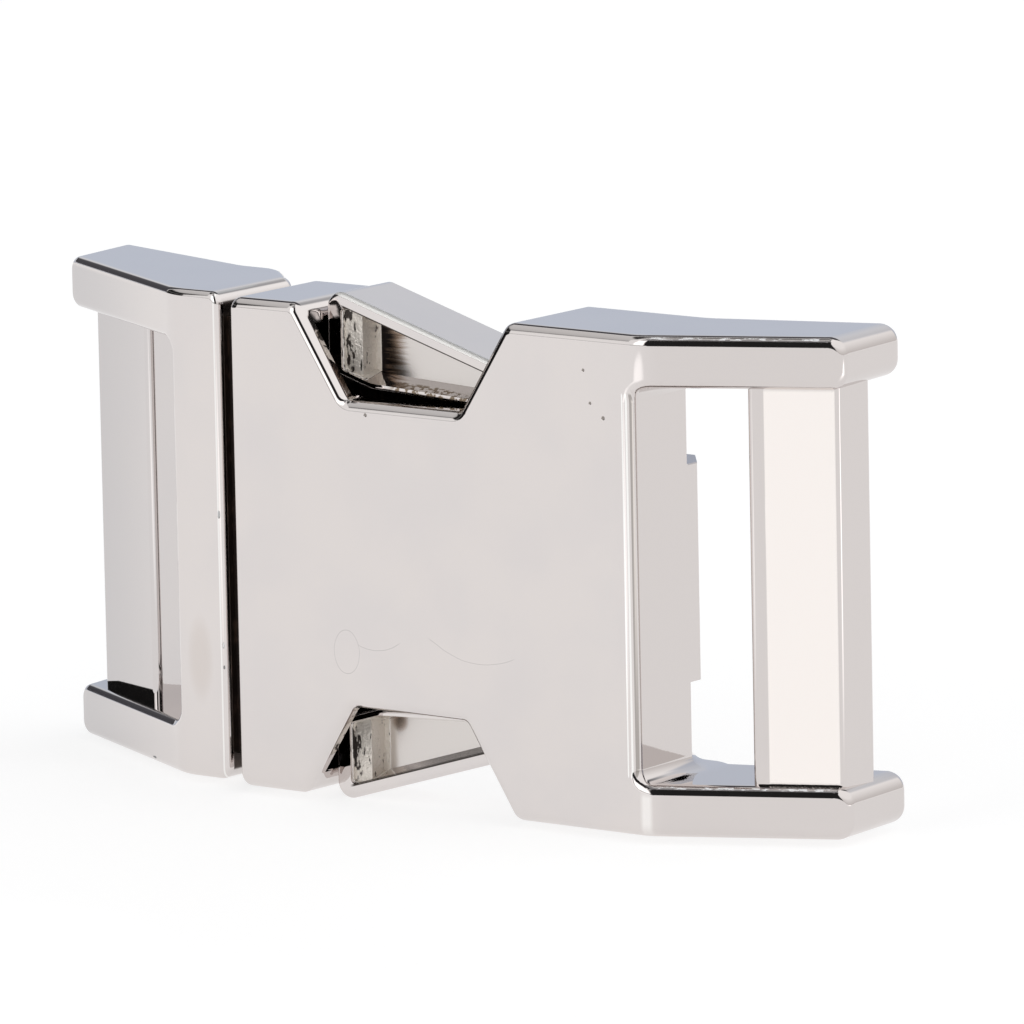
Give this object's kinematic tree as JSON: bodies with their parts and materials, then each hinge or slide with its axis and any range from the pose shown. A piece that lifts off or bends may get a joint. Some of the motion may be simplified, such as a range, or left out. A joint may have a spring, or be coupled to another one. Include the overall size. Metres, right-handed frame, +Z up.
{
  "type": "side release buckle",
  "caption": "Cast metal side release buckle for 25 mm webbing: a hollow socket with finger notches, a plug with a tongue, and sprung levers.",
  "frame": {"origin": "middle of the bounding box's bottom, which is the outer corner of the lower lever that the buckle stands on", "axes": "+X along the webbing from the plug's end to the socket's end, -Y the way the flat front plate faces, +Z up across the webbing"},
  "size_m": [0.0672, 0.0158, 0.0337],
  "materials": {
    "socket_nickel": "bright nickel plate, polished",
    "plug_nickel": "bright nickel plate, polished",
    "lever_nickel": "bright nickel plate, rough as cast in the pocket",
    "pin_steel": "plain steel"
  },
  "bodies": {
    "housing": {"socket": "socket_nickel", "plug": "plug_nickel", "pivot_pin_upper": "pin_steel", "pivot_pin_lower": "pin_steel"},
    "lever_upper": {"lever_upper": "lever_nickel"},
    "lever_lower": {"lever_lower": "lever_nickel"}
  },
  "joints": [
    {"name": "lever_upper_press", "type": "hinge", "parent": "housing", "child": "lever_upper", "pos_m": [0.01423, -0.00298, 0.02818], "axis": [0, -1, 0], "range_deg": [0, 7], "stiffness_Nm_per_rad": 0.9},
    {"name": "lever_lower_press", "type": "hinge", "parent": "housing", "child": "lever_lower", "pos_m": [0.01423, -0.00298, 0.00552], "axis": [0, 1, 0], "range_deg": [0, 7], "stiffness_Nm_per_rad": 0.9}
  ]
}
